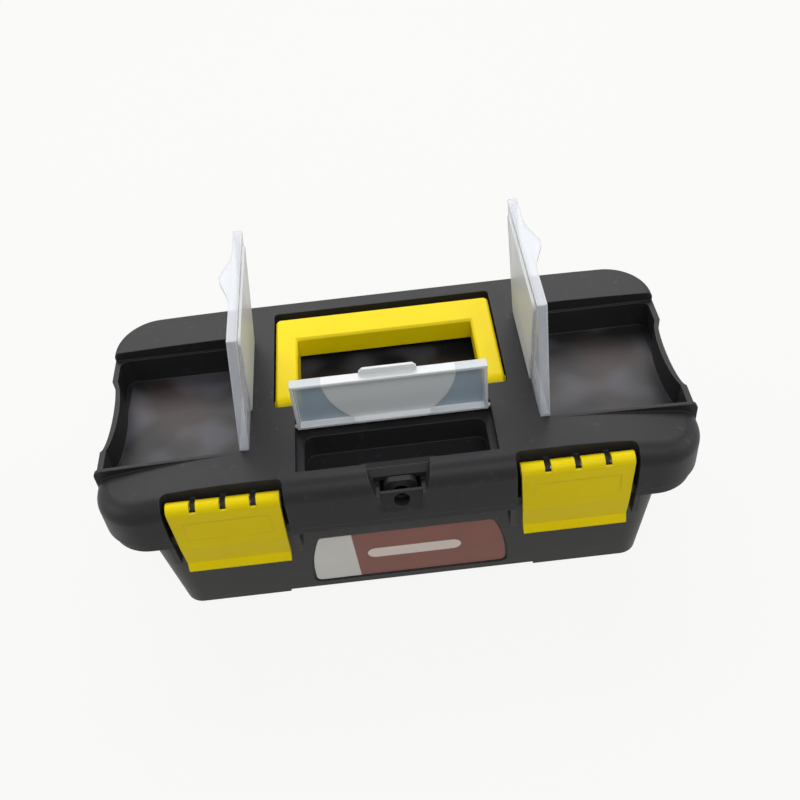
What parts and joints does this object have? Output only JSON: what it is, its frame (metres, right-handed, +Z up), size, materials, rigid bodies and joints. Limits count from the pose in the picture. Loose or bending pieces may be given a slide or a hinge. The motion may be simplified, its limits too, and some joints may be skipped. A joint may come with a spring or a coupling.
{
  "type": "tool box",
  "caption": "Small moulded tool box with a folding carry handle, drop latches, a padlock eye and clear-covered small-parts compartments in its hinged lid.",
  "frame": {"origin": "on the ground under the middle of the shut box", "axes": "+X along the box to its right-hand end, -Y out of the front, +Z up"},
  "size_m": [0.262, 0.1328, 0.157],
  "materials": {
    "black_plastic": "satin moulded grain",
    "yellow_plastic": "smooth semi-gloss",
    "clear_plastic": "frosted see-through",
    "steel": "drawn wire",
    "label_print": "printed film"
  },
  "bodies": {
    "base": {"base_tub": "black_plastic", "padlock_tongue": "black_plastic", "hinge_pin_left": "steel", "hinge_pin_right": "steel", "front_label": "label_print"},
    "lid": {"lid_shell": "black_plastic", "padlock_eye": "black_plastic", "latch_pin_left": "steel", "latch_pin_right": "steel"},
    "handle": {"carry_handle": "yellow_plastic"},
    "left_latch": {"latch_left": "yellow_plastic"},
    "right_latch": {"latch_right": "yellow_plastic"},
    "left_cover": {"end_cover_left": "clear_plastic"},
    "right_cover": {"end_cover_right": "clear_plastic"},
    "middle_cover": {"center_cover": "clear_plastic"}
  },
  "joints": [
    {"name": "lid_hinge", "type": "hinge", "parent": "base", "child": "lid", "pos_m": [0, 0.06295, 0.0678], "axis": [-1, 0, 0], "range_deg": [0, 105]},
    {"name": "handle_fold", "type": "hinge", "parent": "lid", "child": "handle", "pos_m": [0, -0.00825, 0.089], "axis": [1, 0, 0], "range_deg": [0, 90]},
    {"name": "latch_left_swing", "type": "hinge", "parent": "lid", "child": "left_latch", "pos_m": [-0.0746, -0.06105, 0.087], "axis": [-1, 0, 0], "range_deg": [0, 100]},
    {"name": "latch_right_swing", "type": "hinge", "parent": "lid", "child": "right_latch", "pos_m": [0.0746, -0.06105, 0.087], "axis": [-1, 0, 0], "range_deg": [0, 100]},
    {"name": "cover_left_close", "type": "hinge", "parent": "lid", "child": "left_cover", "pos_m": [-0.0654, -0.00325, 0.0913], "axis": [0, -1, 0], "range_deg": [0, 96.2]},
    {"name": "cover_right_close", "type": "hinge", "parent": "lid", "child": "right_cover", "pos_m": [0.0654, -0.00325, 0.0913], "axis": [0, 1, 0], "range_deg": [0, 92.4]},
    {"name": "cover_center_close", "type": "hinge", "parent": "lid", "child": "middle_cover", "pos_m": [0, -0.02615, 0.093], "axis": [1, 0, 0], "range_deg": [0, 88]}
  ]
}
